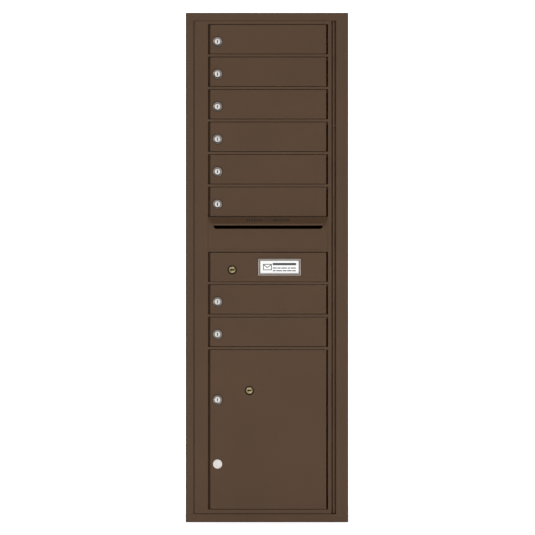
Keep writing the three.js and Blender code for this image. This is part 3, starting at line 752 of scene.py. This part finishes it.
def add_blank_plug():
    """A domed nickel button over the spare lock hole, with its hollow shank."""
    centre = middle("parcel_blank_plug")
    profile = behind([(ON_AXIS, -1.55), (6.0, -1.6), (9.4, -1.75), (11.2, -1.7), (12.6, -0.9),
                      (12.6, -0.3), (9.5, -0.3), (9.3, 8.0), (8.0, 8.0), (8.0, 1.0), (ON_AXIS, 1.0)])
    button = turned("blank_button", softened(profile, 0.5), closed=False)
    show("parcel_blank_button", button, button_nickel, "parcel_door",
         (centre.x, 0, centre.z), ["parcel_blank_plug"])


# ---------------------------------------------------------------- label and marks

def strip(a, b, width):
    """A straight stroke between two points as an outline."""
    a, b = Vector(a), Vector(b)
    side = (b - a).normalized().orthogonal() * width / 2
    return [tuple(p) for p in (a + side, b + side, b - side, a - side)]


def envelope(half_x, half_z, line, x=0.0):
    """A plain envelope as outlines for plates: its border, and the two strokes of its flap."""
    outer = rounded_box(half_x, half_z, 1.0, x)
    inner = rounded_box(half_x - line, half_z - line, 0.5, x)
    tip = (x, -half_z * 0.15)
    reach = half_x - line * 0.6
    strokes = [strip((x + side * reach, half_z - line), tip, line) for side in (-1, 1)]
    return [[outer, inner]] + [[stroke] for stroke in strokes]


# The profiles of the frame's two beads and of the groove between them, as picture_frame takes them.
LABEL_BEADS = [(0.0, 0.0), (0.0, 1.5), (0.4, 2.2), (1.1, 2.55), (1.8, 2.4), (2.3, 1.7), (2.9, 1.35),
               (3.5, 1.35), (4.0, 1.6), (4.5, 2.1), (5.1, 2.3), (5.7, 2.0), (6.1, 1.3), (6.2, 0.95),
               (4.0, 0.95), (4.0, 0.0)]
LABEL_GROOVE = [(0.0, 1.2), (0.0, 1.85), (0.4, 1.75), (1.7, 1.75), (2.1, 1.85), (2.1, 1.2)]
GROOVE_INSET = 2.3
LABEL_ENVELOPE = {"half_x": 12.0, "half_z": 8.6, "line": 2.0, "x": -33.0}
LABEL_BAR = {"half_x": 32.0, "half_z": 3.1, "corner": 0.8, "x": 13.5, "z": 8.2}
DASHES = {"x": -18.5, "z": -2.6, "pitch": 7.4, "gap": 1.8, "half_z": 1.35, "corner": 0.5}
DASH_ROWS = ((11, 9, 15, 7, 14), (8, 16, 10, 12, 10))


def add_label():
    """The beaded frame, and the card's print: an envelope, a bar and two rows of dashes."""
    centre = middle("label_frame")
    low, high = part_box("label_frame")
    half_x, half_z = (high.x - low.x) / 2 / MM, (high.z - low.z) / 2 / MM
    back = high.y / MM
    at = (centre.x, 0, centre.z)
    moulding = picture_frame("label_moulding", half_x, half_z, 2.0, LABEL_BEADS, back)
    show("label_frame_beaded", moulding, silver, "master_door", at, ["label_frame"])
    inner_x, inner_z = half_x - GROOVE_INSET, half_z - GROOVE_INSET
    groove = picture_frame("label_groove", inner_x, inner_z, 0.8, LABEL_GROOVE, back)
    show("label_frame_groove", groove, groove_shade, "master_door", at)
    outlines = envelope(**LABEL_ENVELOPE)
    outlines.append([rounded_box(**LABEL_BAR)])
    for row, lengths in enumerate(DASH_ROWS):
        x, z = DASHES["x"], DASHES["z"] - DASHES["pitch"] * row
        for length in lengths:
            half = length / 2
            outlines.append([rounded_box(half, DASHES["half_z"], DASHES["corner"], x + half, z)])
            x += length + DASHES["gap"]
    card_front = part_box("label_card")[0].y / MM
    prints = [plate("ink", outline, card_front - 0.12, card_front + 0.05, 0.03) for outline in outlines]
    show("label_print", merged("label_print", prints), ink, "master_door", at)


HOOD_ENVELOPE = {"half_x": 8.5, "half_z": 5.0, "line": 1.2}
HOOD_BARS = {"each_side": 7, "first": 15.5, "pitch": 7.0, "half_x": 2.4, "corner": 0.9}
HOOD_BAR_HEIGHTS = (3.6, 4.6)  # half heights, in turn
HOOD_SLOPE = {"above_foot": 4.5, "before_back": 1.6}  # where the slope starts and ends


def add_hood_marks():
    """Raised generic marks across the hood's slope: an envelope between rows of short bars."""
    low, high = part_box("outgoing_slot_hood")
    slope_low = Vector((0, low.y, low.z + HOOD_SLOPE["above_foot"] * MM))
    slope_high = Vector((0, high.y - HOOD_SLOPE["before_back"] * MM, high.z))
    lean = math.atan2(slope_high.y - slope_low.y, slope_high.z - slope_low.z)
    outlines = envelope(**HOOD_ENVELOPE)
    for side in (-1, 1):
        for k in range(HOOD_BARS["each_side"]):
            x = side * (HOOD_BARS["first"] + HOOD_BARS["pitch"] * k)
            tall = HOOD_BAR_HEIGHTS[k % 2]
            outlines.append([rounded_box(HOOD_BARS["half_x"], tall, HOOD_BARS["corner"], x)])
    raised = [plate("hood_relief", outline, -0.35, 0.15, 0.15) for outline in outlines]
    mesh = merged("hood_relief", raised)
    mesh.transform(Matrix.Rotation(-lean, 4, "X"))
    centre = (slope_low + slope_high) / 2
    show("hood_relief", mesh, relief_bronze, "master_door",
         ((low.x + high.x) / 2, centre.y, centre.z))


# ---------------------------------------------------------------- master hinge

# leaf is the leaves' thickness, and fixed_width the cabinet leaf's width.
HINGE = {"r": 3.6, "bore": 1.9, "knuckles": 14, "gap": 0.3, "leaf": 1.5, "fixed_width": 16.6}


def add_master_hinge():
    """Two leaves whose knuckles take turns along the pin, the cabinet's first."""
    axis = joint_place("master_door_swing")
    x, y = axis[0] / MM, axis[1] / MM
    pin_low, pin_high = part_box("master_hinge_pin")
    low, high = pin_low.z / MM - HINGE["gap"], pin_high.z / MM + HINGE["gap"]
    pitch = (high - low) / HINGE["knuckles"]
    plate_back = y + HINGE["r"]
    plate_front = plate_back - HINGE["leaf"]
    for first, node, body in ((0, "master_hinge_cabinet_leaf", "cabinet"),
                              (1, "master_hinge_door_leaf", "master_door")):
        node_low, node_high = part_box(node)
        if first == 0:
            edge = node_high.x / MM
            inner = edge - HINGE["fixed_width"]
            tab_low, tab_high = x, inner
            leaf = bar("leaf", (inner, plate_front, low), (edge, plate_back, high), 0.3)
        else:
            edge = node_low.x / MM
            tab_low, tab_high = edge, x
            leaf_corner = (edge + HINGE["leaf"], node_high.y / MM, high)
            leaf = bar("leaf", (edge, plate_front, low), leaf_corner, 0.3)
        meshes = []
        for k in range(first, HINGE["knuckles"], 2):
            z0 = low + k * pitch + HINGE["gap"]
            z1 = z0 + pitch - 2 * HINGE["gap"]
            section = [(HINGE["bore"], z0), (HINGE["r"], z0), (HINGE["r"], z1), (HINGE["bore"], z1)]
            barrel = turned("knuckle", softened(section, 0.35, closed=True), axis="Z")
            barrel.transform(Matrix.Translation((x * MM, y * MM, 0)))
            meshes.append(barrel)
            meshes.append(bar("tab", (tab_low, plate_front, z0), (tab_high, plate_back, z1), 0.25))
        meshes.append(leaf)
        rolled = merged(node, meshes)
        show(f"{node}_rolled", rolled, bronze, body, stands_for=[node])


# ---------------------------------------------------------------- screws, rivets and the shade deflector

SCREW = {"r": 3.2, "arm": 1.7, "slot": 0.45}
HINGE_SCREWS = {"count": 12, "before_back": 6.0}
RIVETS = {"depths": (45, 160, 275, 390), "below_shelf": 6.5}
# painted shade: a near-black sheet behind the outgoing slot
SHADE_DEFLECTOR = {"side_gap": 3, "below": 1, "behind": 4, "sheet": 1.2, "reach": 34, "drop": 52, "lip": 12}


def screw_head():
    """A countersunk head with a cross recess, its face at 0 and towards -Y."""
    arm, half = SCREW["arm"], SCREW["slot"]
    quarter = [(half, half), (half, arm), (-half, arm)]
    cross = []
    for turn in range(4):
        cos, sin = round(math.cos(math.pi / 2 * turn)), round(math.sin(math.pi / 2 * turn))
        cross += [(x * cos - z * sin, x * sin + z * cos) for x, z in quarter]
    face = plate("screw_face", [circle(SCREW["r"], 32), cross], -0.25, 0.5, 0.12)
    floor = turned("screw_floor", [(ON_AXIS, 0.3), (SCREW["r"] - 0.6, 0.3)], closed=False)
    return merged("screw_head", [face, floor])


def rivet_head():
    profile = [(ON_AXIS, -0.35), (1.2, -0.32), (2.2, -0.05), (2.4, 0.1)]
    return turned("rivet_head", softened(profile, 0.3), closed=False)


def scattered(name, mesh, places, turn):
    """Copies of one small mesh, turned to face a side and merged."""
    faced = mesh.copy()
    faced.transform(turn)
    return merged(name, [faced] * len(places), places)


def add_fasteners():
    towards_right = Matrix.Rotation(math.pi / 2, 4, "Z")
    towards_left = Matrix.Rotation(-math.pi / 2, 4, "Z")
    leaf_low, leaf_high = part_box("master_hinge_door_leaf")
    leaf_face = leaf_low.x / MM + HINGE["leaf"]
    count = HINGE_SCREWS["count"]
    step = (leaf_high.z - leaf_low.z) / MM / count
    depth = leaf_high.y / MM - HINGE_SCREWS["before_back"]
    spots = [(leaf_face, depth, leaf_low.z / MM + step * (k + 0.5)) for k in range(count)]
    screws = scattered("hinge_screws", screw_head(), spots, towards_right)
    show("hinge_screws", screws, zinc, "master_door")
    for node, turn, outer in (("cabinet_left_side", towards_left, 0),
                              ("cabinet_right_side", towards_right, 1)):
        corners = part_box(node)
        face, front = corners[outer].x / MM, corners[0].y / MM
        spots = []
        for shelf in SHELVES:
            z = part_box(f"shelf_{shelf}")[1].z / MM - RIVETS["below_shelf"]
            spots += [(face, front + depth, z) for depth in RIVETS["depths"]]
        rivets = scattered("rivets", rivet_head(), spots, turn)
        show(f"{node}_rivets", rivets, zinc, "cabinet")


def add_shade_deflector():
    """A sheet behind the outgoing slot, shaped to turn letters down and stop a hand reaching in; its near-black
    colour is painted shade, so that the slot reads black.
    """
    low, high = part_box("shelf_6")
    half = (high.x - low.x) / 2 / MM - SHADE_DEFLECTOR["side_gap"]
    sheet = SHADE_DEFLECTOR["sheet"]
    top = low.z / MM - SHADE_DEFLECTOR["below"]
    front = low.y / MM + SHADE_DEFLECTOR["behind"]
    far = front + SHADE_DEFLECTOR["reach"]
    bend = top - SHADE_DEFLECTOR["drop"]
    foot = bend - SHADE_DEFLECTOR["lip"]
    section = [(front, top), (front + sheet, top), (far, bend), (far, foot), (far - sheet, foot),
               (far - sheet, bend)]
    section = softened(section, 1.0, closed=True)
    count = len(section)
    verts = [(x, y, z) for x in (-half, half) for y, z in section]
    faces = [(i, (i + 1) % count, count + (i + 1) % count, count + i) for i in range(count)]
    faces += [tuple(range(count)), tuple(range(count, 2 * count))]
    mesh = mesh_of("slot_shade_deflector", verts, faces)
    show("slot_shade_deflector", mesh, shade_black, "cabinet")


add_key_locks()
add_arrow_locks()
add_blank_plug()
add_label()
add_hood_marks()
add_master_hinge()
add_fasteners()
add_shade_deflector()


# ---------------------------------------------------------------- stage, light and camera

VIEW_WIDTH = 1.4625  # metres across the picture, at the leaves' front
LENS = 150
SENSOR = 36  # width of the camera's sensor, in mm like the lens
CAMERA_X = 1.4 * MM  # the unit stands this far left of the picture's middle
STAGE_WHITE = (0.92, 0.92, 0.92)
STAGE_GLOW = 0.74  # keeps the stage white under the soft lights
WORLD_STRENGTH = 0.235
SWEEP = {"half_width": 9.0, "front": -8.0, "bend": 4.0, "radius": 2.5, "height": 6.0, "steps": 16}
LIGHTS = (  # name, place, aim, size, watts
    ("key", (-2.0, -4.4, 1.9), (0, 0, 0.7), (2.4, 2.4), 70),
    ("fill", (2.4, -4.2, 1.1), (0, 0, 0.7), (2.0, 2.4), 36.5),
    ("backdrop_wash", (0, 0.8, 4.5), (0, 5.5, 1.0), (7.0, 1.5), 160),
)


def stage_material():
    """Plain white with a glow, and the faintest mottle."""
    s = Shader("stage_white", STAGE_WHITE, 0.8)
    s.shader.inputs["Emission Color"].default_value = (1, 1, 1, 1)
    s.shader.inputs["Emission Strength"].default_value = STAGE_GLOW
    mottle = s.noise(2, detail=2)
    s.color(s.mix(mottle, tuple(c * 0.99 for c in STAGE_WHITE), STAGE_WHITE))
    return s.material


def add_sweep():
    """A pale floor that curves up into a backdrop."""
    ground = cad_low.z
    bend, radius, steps = SWEEP["bend"], SWEEP["radius"], SWEEP["steps"]
    path = [(SWEEP["front"], ground), (bend, ground)]
    for i in range(1, steps + 1):
        a = math.pi / 2 * i / steps
        path.append((bend + radius * math.sin(a), ground + radius * (1 - math.cos(a))))
    path.append((bend + radius, ground + SWEEP["height"]))
    mesh = bpy.data.meshes.new("sweep")
    verts = [(x, y, z) for y, z in path for x in (-SWEEP["half_width"], SWEEP["half_width"])]
    faces = [(2 * i, 2 * i + 1, 2 * i + 3, 2 * i + 2) for i in range(len(path) - 1)]
    mesh.from_pydata(verts, [], faces)
    mesh.shade_smooth()
    mesh.materials.append(stage_material())
    sweep = bpy.data.objects.new("sweep", mesh)
    bpy.context.scene.collection.objects.link(sweep)


def add_light(name, place, aim, size, watts):
    light = bpy.data.lights.new(name, "AREA")
    light.shape = "RECTANGLE"
    light.size, light.size_y = size
    light.energy = watts
    obj = bpy.data.objects.new(name, light)
    obj.location = place
    obj.rotation_euler = (Vector(aim) - Vector(place)).to_track_quat("-Z", "Y").to_euler()
    bpy.context.scene.collection.objects.link(obj)


def add_camera():
    """Level and far back, straight in front of the middle of the unit."""
    data = bpy.data.cameras.new("camera")
    data.lens = LENS
    data.clip_end = 100
    camera = bpy.data.objects.new("camera", data)
    camera.location = (CAMERA_X, FACE - VIEW_WIDTH * LENS / SENSOR, (cad_low.z + cad_high.z) / 2)
    camera.rotation_euler = (math.pi / 2, 0, 0)
    bpy.context.scene.collection.objects.link(camera)
    bpy.context.scene.camera = camera


def light_stage():
    world = bpy.data.worlds.new("studio")
    world.use_nodes = True
    background = world.node_tree.nodes["Background"]
    background.inputs["Color"].default_value = (1, 1, 1, 1)
    background.inputs["Strength"].default_value = WORLD_STRENGTH
    bpy.context.scene.world = world
    for light in LIGHTS:
        add_light(*light)
    bpy.context.scene.view_settings.view_transform = "Standard"


add_sweep()
add_camera()
light_stage()
